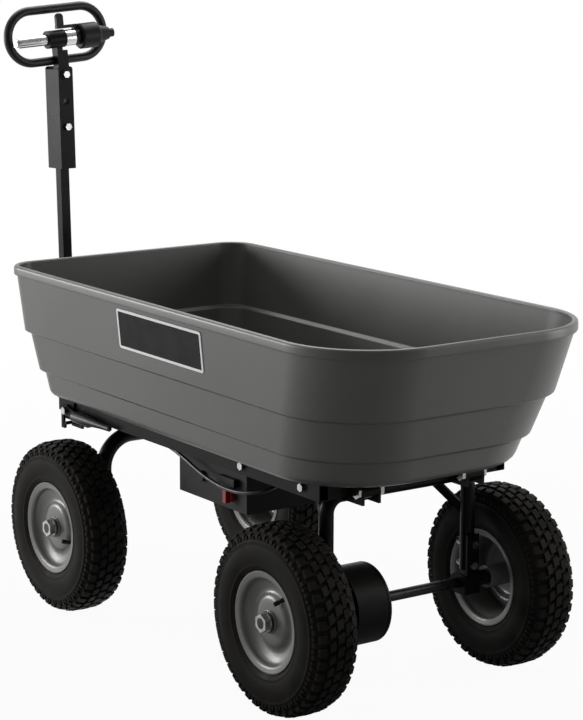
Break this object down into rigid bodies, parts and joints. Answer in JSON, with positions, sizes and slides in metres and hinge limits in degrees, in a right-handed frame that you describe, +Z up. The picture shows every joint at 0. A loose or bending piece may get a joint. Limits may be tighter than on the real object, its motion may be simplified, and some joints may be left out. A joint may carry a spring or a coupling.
{
  "type": "tow behind cart",
  "caption": "Powered dump cart: a stepped moulded tub that tips on a rear hinge over a steerable tube frame on pneumatic tyres, with a pull handle whose head takes a hitch pin.",
  "frame": {"origin": "on the ground under the middle of the cart's bounding box", "axes": "+Y to the tub's tail, along the cart; +X to the cart's left side, where the motor and the key are; +Z up"},
  "size_m": [0.5736, 1.4212, 1.1388],
  "materials": {
    "tub_poly": "moulded, fine grain",
    "frame_black": "gloss powder coat",
    "zinc": "bright zinc plate",
    "rim_grey": "satin powder coat",
    "tyre_black": "moulded rubber",
    "black_plastic": "fine grain",
    "grip_rubber": "soft matt",
    "chrome": "polished",
    "bare_steel": "turned",
    "battery_grey": "moulded",
    "cast_aluminium": "as cast",
    "red_plastic": "moulded",
    "lead_jacket": "smooth"
  },
  "bodies": {
    "chassis": {"chassis_rails": "frame_black", "front_crossbar": "frame_black", "mid_crossbar": "frame_black", "kingpin": "zinc", "latch_keeper": "frame_black", "rear_arch": "frame_black", "rear_braces": "frame_black", "axle_hangers": "frame_black", "hanger_bolts": "zinc", "hinge_brackets": "frame_black", "hinge_pins": "zinc", "rear_axle": "bare_steel", "rear_axle_nuts": "zinc", "motor_housing": "frame_black", "motor_plate": "frame_black", "motor_bolts": "zinc", "battery_box": "black_plastic", "battery_box_lid": "black_plastic", "battery_pack": "battery_grey", "motor_controller": "cast_aluminium", "box_connector": "black_plastic", "lead_glands": "black_plastic", "throttle_lead": "lead_jacket"},
    "tub": {"tub": "tub_poly", "bed_rails": "frame_black", "bed_crossbars": "frame_black", "hinge_lugs": "frame_black", "bed_bolts": "zinc", "floor_bolts": "zinc", "bed_brackets": "frame_black"},
    "latch": {"latch_lever": "frame_black", "latch_grip": "grip_rubber"},
    "isolator": {"isolator_key": "red_plastic"},
    "front_axle": {"front_arch": "frame_black", "steering_plate": "frame_black", "drawbar": "frame_black", "yoke_pin": "zinc", "front_stub_axles": "bare_steel", "front_axle_nuts": "zinc"},
    "handle": {"pull_rod": "frame_black", "hitch_clevis": "frame_black", "clevis_bolts": "zinc"},
    "grip": {"grip_post": "frame_black", "loop_grip": "grip_rubber", "throttle_bar": "chrome", "throttle_body": "black_plastic"},
    "throttle": {"throttle_lever": "black_plastic"},
    "wheel_fl": {"tyre_fl": "tyre_black", "rim_fl": "rim_grey", "bearings_fl": "bare_steel"},
    "wheel_fr": {"tyre_fr": "tyre_black", "rim_fr": "rim_grey", "bearings_fr": "bare_steel"},
    "wheel_rl": {"tyre_rl": "tyre_black", "rim_rl": "rim_grey", "bearings_rl": "bare_steel", "drive_sleeve": "bare_steel"},
    "wheel_rr": {"tyre_rr": "tyre_black", "rim_rr": "rim_grey", "bearings_rr": "bare_steel"}
  },
  "joints": [
    {"name": "front_steer", "type": "hinge", "parent": "chassis", "child": "front_axle", "pos_m": [0, -0.25242, 0.345], "axis": [0, 0, 1], "range_deg": [-35, 35]},
    {"name": "tub_dump", "type": "hinge", "parent": "chassis", "child": "tub", "pos_m": [0, 0.54058, 0.383], "axis": [-1, 0, 0], "range_deg": [0, 75]},
    {"name": "latch", "type": "hinge", "parent": "tub", "child": "latch", "pos_m": [0.2075, -0.29942, 0.3785], "axis": [1, 0, 0], "range_deg": [0, 5]},
    {"name": "isolator", "type": "hinge", "parent": "chassis", "child": "isolator", "pos_m": [0.15, 0.18858, 0.307], "axis": [1, 0, 0], "range_deg": [0, 90]},
    {"name": "wheel_fl_spin", "type": "hinge", "parent": "front_axle", "child": "wheel_fl", "pos_m": [0.235, -0.25242, 0.165], "axis": [1, 0, 0], "continuous": true},
    {"name": "wheel_fr_spin", "type": "hinge", "parent": "front_axle", "child": "wheel_fr", "pos_m": [-0.235, -0.25242, 0.165], "axis": [1, 0, 0], "continuous": true},
    {"name": "wheel_rl_spin", "type": "hinge", "parent": "chassis", "child": "wheel_rl", "pos_m": [0.235, 0.47258, 0.165], "axis": [1, 0, 0], "continuous": true},
    {"name": "wheel_rr_spin", "type": "hinge", "parent": "chassis", "child": "wheel_rr", "pos_m": [-0.235, 0.47258, 0.165], "axis": [1, 0, 0], "continuous": true},
    {"name": "handle_tilt", "type": "hinge", "parent": "front_axle", "child": "handle", "pos_m": [0, -0.64742, 0.3265], "axis": [1, 0, 0], "range_deg": [-2, 100]},
    {"name": "grip_fold", "type": "hinge", "parent": "handle", "child": "grip", "pos_m": [0, -0.67415, 0.99196], "axis": [0, -0.9992, -0.0401], "range_deg": [0, 90]},
    {"name": "throttle", "type": "hinge", "parent": "grip", "child": "throttle", "pos_m": [-0.02526, -0.64722, 1.06905], "axis": [0.9976, 0.0028, -0.0697], "range_deg": [0, 35], "stiffness_Nm_per_rad": 0.3, "springref_deg": -11.46}
  ]
}
